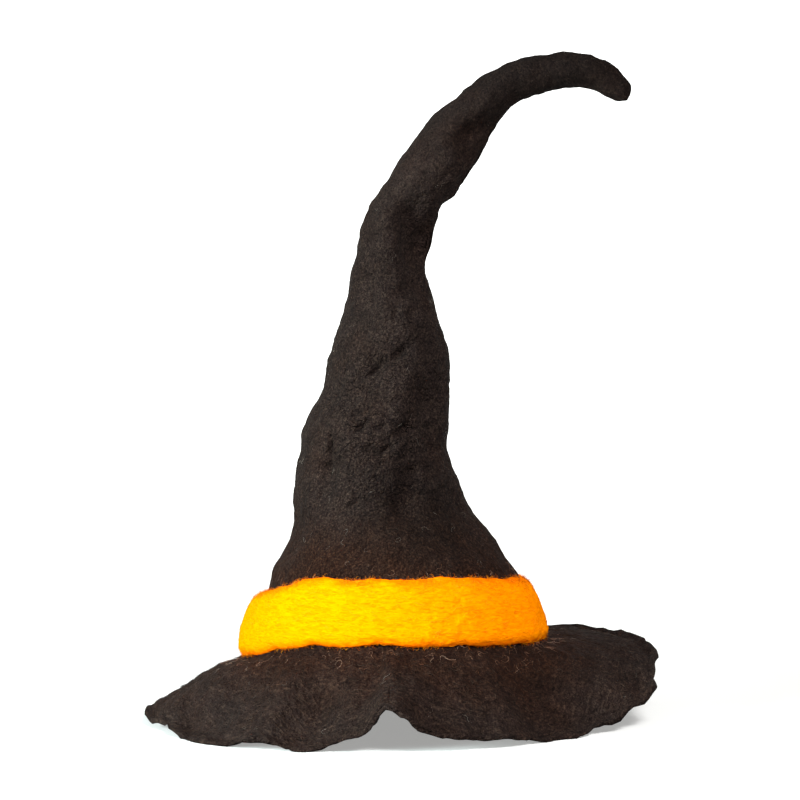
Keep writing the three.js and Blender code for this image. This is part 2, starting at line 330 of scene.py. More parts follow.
@dataclass(frozen=True)
class OrangeFelt(Finish):
    """Yellow-orange wool, felted round the hat: its fibres run along the band in wavy streaks.

    Attributes:
        painted_valley_shade: Colour between the streaks, a painted shade in their hollows.
        wool: Colour of most of the wool.
        ridge: Colour of the fibres on top.
        edge: Colour of the band's edges, a painted shade: the deeper orange where they round off into shadow
            against the felt.
        radius: Radius of the band.
        streak: Length of a streak along the band.
        row: Height of a streak.
        lumps: Size of the felt's lumps.
    """

    name: str = "orange wool felt"
    painted_valley_shade: str = "#ee7a00"
    wool: str = "#fa8a00"
    ridge: str = "#ff9700"
    edge: str = "#f26c00"
    radius: float = 100 * MM
    streak: float = 7 * MM
    row: float = 1.5 * MM
    lumps: float = 6 * MM

    def shader(self, add: Adder) -> Node:
        """Build the shader, in the object's own coordinates and with its attribute "edge".

        Args:
            add: Adds a node to the material.

        Returns:
            The band's shader.
        """
        place = add("TexCoord").outputs["Object"]
        rows = round_the_hat(add, place, self.radius, self.streak, self.row, upright=True)
        streak = add("TexNoise", {"Vector": rows, "Scale": 1.0, "Detail": 2.5, "Distortion": 0.8})
        lines = fibre_lines(add, rows, 1.2, 0.07)
        # Painted shade: between the streaks, where the bump is lowest, the wool darkens to the valley colour.
        span = add("MapRange", {"Value": streak, "From Min": 0.36, "From Max": 0.56})
        base = add("Mix", {"Factor": span, "A": linear(self.painted_valley_shade), "B": linear(self.wool)},
                   data_type="RGBA")
        share = add("Math", {0: lines, 1: 0.6}, operation="MULTIPLY")
        combed = add("Mix", {"Factor": share, "A": base, "B": linear(self.ridge)}, data_type="RGBA")
        # Painted shade: the band's rounded edges take the deeper orange of the shade where they meet the
        # black felt.
        rim = add("Attribute", attribute_name="edge").outputs["Fac"]
        colour = add("Mix", {"Factor": rim, "A": combed, "B": linear(self.edge)}, data_type="RGBA")
        lumps = add("TexNoise", {"Vector": place, "Scale": 1 / self.lumps, "Detail": 2.0})
        height = add("Math", {0: lines, 1: 0.35, 2: streak}, operation="MULTIPLY_ADD")
        relief = add("Math", {0: lumps, 1: 0.8, 2: height}, operation="MULTIPLY_ADD")
        bump = add("Bump", {"Height": relief, "Strength": 0.6, "Distance": 0.8 * MM})
        return add("BsdfPrincipled", {
            "Base Color": colour, "Normal": bump, "Roughness": 0.95, "Specular IOR Level": 0.0})


@dataclass(frozen=True)
class WoolStrand(Finish):
    """Loose wool fibres, each of its own shade.

    Attributes:
        dark: The darkest fibre's colour.
        pale: The palest fibre's colour.
        least: The factor of the darkest patches.
        most: The factor of the palest patches.
    """

    dark: str
    pale: str
    least: float = 1.0
    most: float = 1.0

    def shader(self, add: Adder) -> Node:
        """Build the shader.

        Args:
            add: Adds a node to the material.

        Returns:
            A matte wool that takes each fibre's shade from the attribute "shade".
        """
        shade = add("Attribute", attribute_name="shade").outputs["Fac"]
        few = add("Math", {0: shade, 1: 2.0}, operation="POWER")
        colour = add("Mix", {"Factor": few, "A": linear(self.dark), "B": linear(self.pale)},
                     data_type="RGBA")
        patched = add("Mix", {"Factor": 1.0, "A": colour, "B": mottle(add, self.least, self.most)},
                      data_type="RGBA", blend_type="MULTIPLY")
        return add("BsdfPrincipled", {"Base Color": patched, "Roughness": 0.9, "Specular IOR Level": 0.05})


@dataclass(frozen=True)
class FrostedSheet(Finish):
    """Frosted white acrylic of a light table: plain, pale and lit a little from below.

    Attributes:
        colour: The sheet's colour.
        glow: The strength of the light from below.
    """

    name: str = "frosted white acrylic"
    colour: str = "#d8d8d6"
    glow: float = 0.5

    def shader(self, add: Adder) -> Node:
        """Build the shader.

        Args:
            add: Adds a node to the material.

        Returns:
            The sheet's shader.
        """
        colour = linear(self.colour)
        return add("BsdfPrincipled", {
            "Base Color": colour, "Roughness": 0.9, "Specular IOR Level": 0.1,
            "Emission Color": colour, "Emission Strength": self.glow})


def add_object(name: str, data: Any) -> Object:
    """Add an object to the scene.

    Args:
        name: The object's name.
        data: Its mesh, curve, light or camera.

    Returns:
        The object.
    """
    made = bpy.data.objects.new(name, data)
    bpy.context.scene.collection.objects.link(made)
    return made


def select_only(piece: Object) -> None:
    """Make a piece the only selected and the active one.

    Args:
        piece: The piece.
    """
    bpy.ops.object.select_all(action="DESELECT")
    piece.select_set(True)
    bpy.context.view_layer.objects.active = piece


class Part(Enum):
    """What is selected of a mesh, and where the mesh keeps it."""

    FACE = "polygons"
    EDGE = "edges"


def edit_where(piece: Object, part: Part, test: Callable[[Any], bool]) -> None:
    """Go into edit mode with some faces or edges of a piece selected.

    Args:
        piece: The piece.
        part: Whether these are faces or edges.
        test: Says of each one whether it is selected.
    """
    select_only(piece)
    bpy.ops.object.mode_set(mode="EDIT")
    bpy.ops.mesh.select_mode(type=part.name)
    bpy.ops.mesh.select_all(action="DESELECT")
    bpy.ops.object.mode_set(mode="OBJECT")
    for one in getattr(piece.data, part.value):
        one.select = test(one)
    bpy.ops.object.mode_set(mode="EDIT")


def shape_with(piece: Object, kind: str, **settings: Any) -> None:
    """Add a modifier to a piece and apply it.

    Args:
        piece: The piece.
        kind: The modifier's type.
        **settings: The modifier's properties.
    """
    select_only(piece)
    bpy.ops.object.modifier_add(type=kind)
    modifier = piece.modifiers[-1]
    for name, value in settings.items():
        setattr(modifier, name, value)
    bpy.ops.object.modifier_apply(modifier=modifier.name)


def corners_of(piece: Object) -> tuple[np.ndarray, np.ndarray]:
    """Read a piece's corners.

    Args:
        piece: The piece.

    Returns:
        The corners' places and their normals, a row each.
    """
    count = len(piece.data.vertices)
    places = np.empty(count * 3)
    normals = np.empty(count * 3)
    piece.data.vertices.foreach_get("co", places)
    piece.data.vertices.foreach_get("normal", normals)
    return places.reshape(-1, 3), normals.reshape(-1, 3)


def set_corners(piece: Object, places: np.ndarray) -> None:
    """Move a piece's corners to new places."""
    piece.data.vertices.foreach_set("co", places.ravel())
    piece.data.update()


def mark_corners(piece: Object, name: str, values: np.ndarray) -> None:
    """Keep a number for each of a piece's corners, as an attribute."""
    layer = piece.data.attributes.new(name, "FLOAT", "POINT")
    layer.data.foreach_set("value", values.astype(np.float32))


def report(piece: Object) -> None:
    """Log how many triangles a piece has."""
    LOG.info("%s: %d triangles", piece.name, sum(len(p.vertices) - 2 for p in piece.data.polygons))


def ease(values: np.ndarray, start: float, end: float) -> np.ndarray:
    """Ease from 0 to 1 as values go from a start to an end, which may be the lower one.

    Args:
        values: The values.
        start: The value at which the result leaves 0.
        end: The value at which it reaches 1.

    Returns:
        The eased numbers.
    """
    share = np.clip((values - start) / (end - start), 0.0, 1.0)
    return share * share * (3 - 2 * share)


def copy_of_node(node: str, name: str) -> Object:
    """Copy a CAD node as a clean mesh of quads.

    Args:
        node: The CAD node's name.
        name: The new piece's name.

    Returns:
        The new piece.
    """
    piece = add_object(name, frame["nodes"][node].data.copy())
    piece.data.materials.clear()
    select_only(piece)
    bpy.ops.mesh.customdata_custom_splitnormals_clear()
    bpy.ops.object.mode_set(mode="EDIT")
    bpy.ops.mesh.select_all(action="SELECT")
    bpy.ops.mesh.remove_doubles(threshold=0.01 * MM)
    bpy.ops.mesh.tris_convert_to_quads(face_threshold=math.pi, shape_threshold=math.pi)
    bpy.ops.object.mode_set(mode="OBJECT")
    bpy.ops.object.shade_smooth()
    return piece


def smooth_through(piece: Object, levels: int) -> None:
    """Subdivide a piece so that its smooth face still goes through its corners.

    Args:
        piece: The piece.
        levels: How many times each face is split both ways.
    """
    aims, _ = corners_of(piece)
    held = aims.copy()
    select_only(piece)
    bpy.ops.object.modifier_add(type="SUBSURF")
    trial = piece.modifiers[-1]
    trial.levels = 1
    for _ in range(3):
        shown = piece.evaluated_get(bpy.context.evaluated_depsgraph_get())
        smooth, _ = corners_of(shown)
        held += aims - smooth[:len(aims)]
        set_corners(piece, held)
    piece.modifiers.remove(trial)
    shape_with(piece, "SUBSURF", levels=levels, render_levels=levels)


def lump(piece: Object, name: str, size: float, height: float) -> None:
    """Raise and sink a piece's face in soft lumps.

    Args:
        piece: The piece.
        name: A name for the lumps.
        size: The lumps' size.
        height: How far the highest stands above the lowest.
    """
    clouds = bpy.data.textures.new(name, "CLOUDS")
    clouds.noise_scale = size
    clouds.noise_depth = 1
    shape_with(piece, "DISPLACE", texture=clouds, texture_coords="LOCAL", strength=height, mid_level=0.5)


@dataclass(frozen=True)
class Press:
    """A soft dent in the felt as the front shows it, in mm and degrees.

    Attributes:
        across: How far its middle is to the right.
        up: How high that is.
        long: Its length to each side.
        wide: Its width to each side.
        lean: How far its long way leans from upright towards +X.
        deep: Its depth, which is below 0 for a swelling.
    """

    across: float
    up: float
    long: float
    wide: float
    lean: float
    deep: float

    def depth(self, places: np.ndarray) -> np.ndarray:
        """Find how deep the dent is at given places.

        Args:
            places: The places.

        Returns:
            The depth at each place.
        """
        lean = math.radians(self.lean)
        across = places[:, 0] / MM - self.across
        up = places[:, 2] / MM - self.up
        along = across * math.sin(lean) + up * math.cos(lean)
        aside = across * math.cos(lean) - up * math.sin(lean)
        return self.deep * np.exp(-(along / self.long) ** 2 - (aside / self.wide) ** 2) * MM


@dataclass(frozen=True)
class Pull:
    """A soft pull on the felt, in mm.

    Attributes:
        across: How far its middle is to the right.
        back: How far back that is.
        up: How high that is.
        reach: How far the pull reaches.
        right: How far it goes to the right.
        rise: How far it goes up.
    """

    across: float
    back: float
    up: float
    reach: float
    right: float
    rise: float

    def shift(self, places: np.ndarray) -> np.ndarray:
        """Find how far the pull moves given places.

        Args:
            places: The places.

        Returns:
            The way that each place goes.
        """
        middle = np.array([self.across, self.back, self.up]) * MM
        near = np.exp(-(((places - middle) / (self.reach * MM)) ** 2).sum(axis=1))
        return near[:, None] * np.array([self.right, 0.0, self.rise]) * MM


class Lay(Enum):
    """How fibres lie: the most that one is turned from the level line round the hat, in radians."""

    MATTED = math.pi
    LOOSE = 1.1
    COMBED = 0.5


@dataclass(frozen=True)
class Strand:
    """One loose wool fibre, lying along X on a surface that faces +Z, in mm and radians.

    Attributes:
        length: Length along the fibre.
        sweep: How far it turns from end to end.
        wave: How far it swings to each side on the way.
        rise: How high its middle stands off the surface.
        thick: Its thickness, more than real wool's so that it shows.
        steps: How many points it is drawn through.
        rooted: Whether it is held by one end, and not by its middle.
    """

    length: float
    sweep: float
    wave: float
    rise: float
    thick: float
    steps: int = 7
    rooted: bool = False

    # How far the ends are sunk in the surface, and how thin they are as a share of the middle.
    SUNK = 0.1 * MM
    END = 0.35

    def path(self) -> np.ndarray:
        """Trace the fibre.

        Returns:
            Its points from end to end, about the one that holds it.
        """
        share = np.linspace(0, 1, self.steps)
        heading = self.sweep * (share - 0.5) + self.wave * np.sin(share * 3 * math.pi)
        step = self.length * MM / (self.steps - 1)
        across = np.stack([np.cos(heading), np.sin(heading)], axis=1) * step
        level = np.concatenate([np.zeros((1, 2)), np.cumsum((across[1:] + across[:-1]) / 2, axis=0)])
        up = self.rise * MM * np.sin(share * math.pi) - self.SUNK
        hold = level[0] if self.rooted else level.mean(axis=0)
        return np.column_stack([level - hold, up])

    def model(self, name: str, profile: Object) -> Object:
        """Make the fibre as a thin closed tube that tapers to its ends.

        Args:
            name: The fibre's name.
            profile: The tube's outline.

        Returns:
            The fibre.
        """
        line = bpy.data.curves.new(name, "CURVE")
        line.dimensions = "3D"
        spline = line.splines.new("POLY")
        spline.points.add(self.steps - 1)
        for point, place, share in zip(spline.points, self.path(), np.linspace(0, 1, self.steps)):
            point.co = (*place, 1.0)
            point.radius = self.thick * MM / 2 * (self.END + (1 - self.END) * math.sin(math.pi * share))
        line.bevel_mode = "OBJECT"
        line.bevel_object = profile
        line.use_fill_caps = True
        fibre = add_object(name, line)
        select_only(fibre)
        bpy.ops.object.convert(target="MESH")
        return fibre


def strand_set(name: str, strands: tuple[Strand, ...]) -> Collection:
    """Model a few fibres, to be copied over a surface.

    Args:
        name: The set's name.
        strands: The fibres.

    Returns:
        The fibres, out of the scene.
    """
    outline = bpy.data.curves.new(name + "_outline", "CURVE")
    corners = outline.splines.new("POLY")
    corners.points.add(2)
    corners.use_cyclic_u = True
    for point, turn in zip(corners.points, (90, 210, 330)):
        point.co = (math.cos(math.radians(turn)), math.sin(math.radians(turn)), 0.0, 1.0)
    profile = add_object(name + "_outline", outline)
    home = bpy.data.collections.new(name)
    for number, strand in enumerate(strands):
        fibre = strand.model(f"{name}_{number:02d}", profile)
        bpy.context.scene.collection.objects.unlink(fibre)
        home.objects.link(fibre)
    bpy.data.objects.remove(profile)
    return home


@dataclass(frozen=True)
class Fuzz:
    """Loose fibres scattered over a piece.

    Attributes:
        name: The fuzz's name.
        slot: The record's material slot, not used.
        finish: The fibres' finish.
        per_m2: Fibres to a square metre where the cover is 1.
        lay: How the fibres lie.
        smallest: The smallest fibre's size, as a share of the modelled one.
        largest: The largest fibre's size.
        seed: The scatter's seed.
        least_tilt: The least that a fibre's far end stands off the surface, in radians.
        most_tilt: The most that it does.
        roll: The most that a fibre leans to either side, in radians.
    """

    name: str
    slot: str
    finish: WoolStrand
    per_m2: float
    lay: Lay
    smallest: float
    largest: float
    seed: int
    least_tilt: float = -0.15
    most_tilt: float = 0.15
    roll: float = 0.15

    def tree(self, strands: Collection) -> NodeTree:
        """Build the scatter.

        Args:
            strands: The modelled fibres.

        Returns:
            The geometry nodes, which keep only the fibres.
        """
        tree = bpy.data.node_groups.new(self.name, "GeometryNodeTree")
        for way in ("INPUT", "OUTPUT"):
            tree.interface.new_socket("Geometry", in_out=way, socket_type="NodeSocketGeometry")
        add = partial(add_node, tree)
        cover = add("GeometryNodeInputNamedAttribute", {"Name": "cover"}, data_type="FLOAT")
        density = add("Math", {0: cover, 1: self.per_m2}, operation="MULTIPLY")
        points = add("GeometryNodeDistributePointsOnFaces", {
            "Mesh": add("NodeGroupInput"), "Density": density, "Seed": self.seed}, distribute_method="RANDOM")
        level = add("VectorMath", {0: (0.0, 0.0, 1.0), 1: points.outputs["Normal"]},
                    operation="CROSS_PRODUCT")
        along = add("FunctionNodeAlignRotationToVector", {
            "Rotation": points.outputs["Rotation"], "Vector": level}, axis="X", pivot_axis="Z")
        spin = add("FunctionNodeRandomValue", {
            "Min": (-self.roll, -self.most_tilt, -self.lay.value), "Seed": self.seed + 1,
            "Max": (self.roll, -self.least_tilt, self.lay.value)}, data_type="FLOAT_VECTOR")
        turn = add("FunctionNodeEulerToRotation", {"Euler": spin})
        laid = add("FunctionNodeRotateRotation", {"Rotation": along, "Rotate By": turn},
                   rotation_space="LOCAL")
        size = add("FunctionNodeRandomValue", {
            "Min": self.smallest, "Max": self.largest, "Seed": self.seed + 2}, data_type="FLOAT")
        pick = add("FunctionNodeRandomValue", {
            "Min": 0, "Max": len(strands.objects) - 1, "Seed": self.seed + 3}, data_type="INT")
        models = add("GeometryNodeCollectionInfo", {
            "Collection": strands, "Separate Children": True, "Reset Children": True})
        fibres = add("GeometryNodeInstanceOnPoints", {
            "Points": points, "Instance": models, "Pick Instance": True, "Instance Index": pick,
            "Rotation": laid, "Scale": size})
        tone = add("FunctionNodeRandomValue", {"Min": 0.0, "Max": 1.0, "Seed": self.seed + 4},
                   data_type="FLOAT")
        toned = add("GeometryNodeStoreNamedAttribute", {"Geometry": fibres, "Name": "shade", "Value": tone},
                    data_type="FLOAT", domain="INSTANCE")
        whole = add("GeometryNodeRealizeInstances", {"Geometry": toned})
        dressed = add("GeometryNodeSetMaterial", {"Geometry": whole, "Material": self.finish.material()})
        add("NodeGroupOutput", {"Geometry": dressed})
        return tree

    def scatter(self, ground: Object, cover: np.ndarray, strands: Collection) -> None:
        """Scatter the fibres, as one piece.

        Args:
            ground: The piece that they lie on.
            cover: How thickly they lie at each of its corners, from 0 to 1.
            strands: The modelled fibres.
        """
        piece = add_object(self.name, ground.data.copy())
        piece.data.materials.clear()
        mark_corners(piece, "cover", cover)
        shape_with(piece, "NODES", node_group=self.tree(strands))
        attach(piece, ROOT)
        report(piece)


@dataclass
class FeltPiece:
    """A piece of felt that dresses a CAD node.

    Attributes:
        node: The CAD node that it dresses.
        name: The piece's name.
        slot: The record's material slot, not used.
    """

    node: str
    name: str
    slot: str

    # Soft pulls on the outline, which each piece gives.
    PULLS = ()

    def pull(self, piece: Object) -> None:
        """Pull the felt's outline into its small steps and waves, and keep the felt above the floor.

        Args:
            piece: The piece.
        """
        places, _ = corners_of(piece)
        places += sum(pull.shift(places) for pull in self.PULLS)
        places[:, 2] = np.maximum(places[:, 2], 0.0)
        set_corners(piece, places)

    def dress(self, piece: Object, finish: Finish) -> None:
        """Give the modelled piece its finish and let it stand for the CAD node.

        Args:
            piece: The piece.
            finish: The felt's finish.
        """
        piece.data.materials.append(finish.material())
        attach(piece, ROOT)
        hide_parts(self.node)
        report(piece)


@dataclass
class FeltBody(FeltPiece):
    """The crown and brim: one seamless felt wall.

    Attributes:
        edge_reach: How far in from the brim's edge its scallops fade out.
        brim_top: A height over all of the brim.
        creased: From where to where up the front the felt is creased most.
        front_back: How far back the front of the wall's outer face goes.
        side_back: How far back its flattened sides go.
        inner_back: How far back the front of the wall's inner face goes.
    """

    node: str = "crown_and_brim"
    name: str = "felt_body"
    slot: str = "black_felt"
    edge_reach: float = 14 * MM
    brim_top: float = 80 * MM
    creased: tuple[float, float] = (140 * MM, 232 * MM)
    front_back: float = 15 * MM
    side_back: float = 20 * MM
    inner_back: float = 8 * MM

    # Creases, pits and swellings of the crown's front and, in the last seven, of the brim's.
    PRESSES = (
        Press(-1, 205, 62, 15, 2, -4.5), Press(-9, 296, 26, 9, 5, -2.5), Press(8, 311, 15, 9, 12, 5.4),
        Press(15, 305, 13, 6, 15, 4.2), Press(5, 326, 5, 1.6, 70, 1.6), Press(9, 286, 12, 8, 5, 3.0),
        Press(41, 373, 10, 5, 30, 3.0), Press(52, 380, 16, 7, 40, 2.2), Press(-18, 272, 6, 1.5, -60, 1.6),
        Press(-11, 264, 5, 3, 30, -2.0), Press(-3, 261, 6, 1.8, 20, 1.8), Press(3, 264, 4, 2.5, 30, -1.8),
        Press(0, 235, 6, 3, 55, 2.6), Press(-16, 224, 8, 1.6, 54, 3.2), Press(-22, 216, 6, 2.4, 54, -1.4),
        Press(-8, 222, 8, 4, 50, -1.4), Press(-8, 230, 16, 2.4, 56, 1.4), Press(18, 205, 15, 7, 20, 3.6),
        Press(1, 188, 7, 3, 40, 4.0), Press(18, 182, 13, 9, 0, 2.8), Press(-11, 189, 4, 1.8, 80, 3.6),
        Press(-26, 188, 5, 1.8, 50, 3.6), Press(-18, 181, 7, 3, 80, -1.6),
        Press(-18, 173, 6, 1.5, 100, 3.8), Press(-10, 174, 4, 1.5, 55, 3.4),
        Press(-45, 176, 7, 1.5, 0, 3.4), Press(-46, 160, 8, 2.4, 0, 3.4), Press(-37, 156, 7, 4, 0, -1.6),
        Press(-34, 159, 3, 2, 40, 2.0), Press(5, 160, 5, 3, 60, 4.0), Press(3, 141, 13, 10, 20, 4.0),
        Press(-8, 150, 8, 4, 10, -1.4), Press(-50, 147, 4, 1.8, 60, 2.2), Press(-34, 137, 9, 3, 65, 3.2),
        Press(17, 140, 12, 8, -10, 1.6), Press(40, 130, 24, 18, -20, 4), Press(-50, 21, 11, 9, 20, 6.5),
        Press(-64, 14, 7, 8, 30, 3), Press(-131, 11, 8, 6, -20, 4), Press(-103, 30, 5, 6, 0, 2.6),
        Press(-17, 12, 5, 4, 30, 2), Press(-10, 39, 10, 9, 0, 6), Press(16, 19, 7, 6, -20, 3.4),
    )

    # Where the neck and the peak are flattened on the right: these go straight back.
    FACETS = (
        Press(56, 366, 34, 12, 37, 7), Press(20, 310, 20, 9, 12, 4),
    )

    # Small steps and corners of the felt's outline.
    PULLS = (
        Pull(-166, -20, 7.5, 14, 1.4, 0), Pull(-167, 24, 3, 14, 2.6, 0), Pull(-157, -52, 6.6, 8, 1, -4),
        Pull(-144, -79, 4, 5, 0, 3), Pull(-165, -8, 6.5, 8, 0, -2), Pull(-165.5, -17, 7, 6, 0, -2.2),
        Pull(-155, -30, 12, 9, 0, 2.4), Pull(-159, -22, 10, 6, 0, 2.2),
        Pull(-148.6, -66.5, 7.3, 7, 0, -1.6), Pull(130.6, -73, 7, 6, 0, -2), Pull(-29, -150, 8, 7, 0, 2),
        Pull(-10.5, -161, 28, 4, 0, 2.4), Pull(4.5, -159.5, 19.7, 3.6, 0, 3.2),
        Pull(14, -154, 12.8, 7, 0, 1.6), Pull(119.5, -81, 4, 6, 0, 1.2), Pull(136, -70.7, 8.6, 4, 0, -1.4),
        Pull(140.5, -69, 10.5, 4.5, 0, 3.2), Pull(146, -63, 13, 6, -1, 2.4), Pull(158, -47, 22, 5, 0, 3),
        Pull(160, -38, 26, 6, 0.8, 0), Pull(160, -21, 30.5, 6, 1.6, 0), Pull(166, -5, 38.7, 8, -1.6, 0),
        Pull(166, 26, 44.7, 11, -3, -0.6), Pull(159, 66, 46.6, 12, -2.6, -1.2),
        Pull(142, 96, 47, 22, -1, -1.8), Pull(45, 8, 356, 7, -1.5, 0), Pull(27, 10, 331, 5, -3, 0),
        Pull(17.5, 10, 281, 8, 1, 0), Pull(17, 11, 305, 8, 1.6, 0), Pull(33, 9, 339, 5, 1.6, -1),
        Pull(143, 1, 400, 5, 2.4, -0.4), Pull(131, 1, 423, 10, -0.8, -1.4), Pull(132, 1, 405, 6, 0, -1.6),
        Pull(148, 0, 403, 5, -1.2, -0.8), Pull(137, 9, 399.5, 4.5, 0.8, 1.4), Pull(144, 6, 400, 6, 0, -0.6),
        Pull(-132, -26, 26, 14, 0, -2.4), Pull(-140, -88, 2, 7, 0, 1.8), Pull(64, -134, 3, 7, 0, 2),
        Pull(29, -148, 4, 8, 0, 1.6),
    )

    # Small scallops of the brim's edge: how many go round, where they start in degrees, and their reach.
    SCALLOPS = (
        {"count": 17, "start": 20, "reach": 0.7 * MM},
        {"count": 29, "start": 140, "reach": 0.8 * MM},
        {"count": 43, "start": 75, "reach": 0.5 * MM},
    )

    def build(self, finish: BlackFelt) -> Object:
        """Model the felt and dress it.

        Args:
            finish: The felt's finish.

        Returns:
            The piece.
        """
        piece = copy_of_node(self.node, self.name)
        smooth_through(piece, 2)
        self.split_front(piece)
        self.press(piece)
        lump(piece, "felt lumps", 17 * MM, 3.0 * MM)
        lump(piece, "felt pills", 7 * MM, 1.8 * MM)
        self.scallop(piece)
        self.pull(piece)
        self.dress(piece, finish)
        return piece

    def split_front(self, piece: Object) -> None:
        """Split the faces where the crown's front is creased, so that thin creases keep their shape.

        Args:
            piece: The felt.
        """
        low, high = self.creased
        edit_where(piece, Part.FACE, lambda face: low < face.center.z < high and face.normal.y < -0.35
                   and face.center.y < self.front_back)
        bpy.ops.mesh.subdivide(number_cuts=1)
        bpy.ops.object.mode_set(mode="OBJECT")
        bpy.ops.object.shade_smooth()

    @classmethod
    def dents(cls, places: np.ndarray) -> np.ndarray:
        """Add up how deep the front's dents are at given places."""
        return sum(press.depth(places) for press in cls.PRESSES)

    def press(self, piece: Object) -> None:
        """Press the dents of the front into both faces of the wall, and flatten its sides.

        Args:
            piece: The felt.
        """
        places, normals = corners_of(piece)
        within = normals[:, 1] > 0
        front = ease(abs(normals[:, 1]), 0.1, 0.5)
        front *= places[:, 1] < np.where(within, self.inner_back, self.front_back)
        normals[within] *= -1
        side = ease(normals[:, 1], 0.2, -0.1)
        side *= places[:, 1] < np.where(within, self.inner_back, self.side_back)
        facets = sum(press.depth(places) for press in self.FACETS)
        places -= normals * (self.dents(places) * front)[:, None]
        places[:, 1] += facets * side
        set_corners(piece, places)

    def scallop(self, piece: Object) -> None:
        """Push the brim's edge in and out in small scallops.

        Args:
            piece: The felt.
        """
        places, _ = corners_of(piece)
        turn = np.arctan2(places[:, 1], places[:, 0])
        out = np.hypot(places[:, 0], places[:, 1])
        low = places[:, 2] < self.brim_top
        count = 180
        sector = ((turn + math.pi) / (2 * math.pi) * count).astype(int) % count
        rim = np.zeros(count)
        np.maximum.at(rim, sector[low], out[low])
        push = ease(rim[sector] - out, self.edge_reach, 0) * low
        wave = sum(row["reach"] * np.sin(row["count"] * turn + math.radians(row["start"]))
                   for row in self.SCALLOPS)
        away = push * wave / np.maximum(out, MM)
        places[:, :2] *= (1 + away)[:, None]
        set_corners(piece, places)


@dataclass
class FeltBand(FeltPiece):
    """The thick band of orange felt."""

    node: str = "hat_band"
    name: str = "felt_band"
    slot: str = "orange_felt"

    # Soft waves of the band's edges.
    PULLS = (
        Pull(-69, -52, 93, 10, 0, -3.2), Pull(-31, -77, 96, 8, 0, -1.3), Pull(24, -76, 96, 7, 0, 1.2),
        Pull(61, -49, 95, 14, 0, -1.4), Pull(83, 0, 88, 10, 0, -1.4), Pull(-86, -50, 47, 12, 0, -2),
        Pull(-79, -38, 88, 10, 0, -1.6), Pull(-89, 20, 80, 16, 0, -1.8), Pull(-106, -3, 46, 10, 1.7, 0),
        Pull(-52, -85, 54, 8, 0, 1.6), Pull(-12, -97, 56, 14, 0, 2.2), Pull(38, -88, 55, 8, 0, 1.2),
    )

    def build(self, finish: OrangeFelt) -> Object:
        """Model the band and dress it.

        Args:
            finish: The felt's finish.

        Returns:
            The piece.
        """
        piece = copy_of_node(self.node, self.name)
        smooth_through(piece, 3)
        lump(piece, "band lumps", 14 * MM, 1.6 * MM)
        lump(piece, "band pills", 4 * MM, 0.8 * MM)
        self.pull(piece)
        # Painted shade: the rounded lower edge, and less the upper one, are marked to take a deeper orange.
        _, normals = corners_of(piece)
        lower, upper = ease(normals[:, 2], -0.1, -0.7), ease(normals[:, 2], 0.6, 0.95)
        mark_corners(piece, "edge", lower + 0.8 * upper)
        self.dress(piece, finish)
        return piece


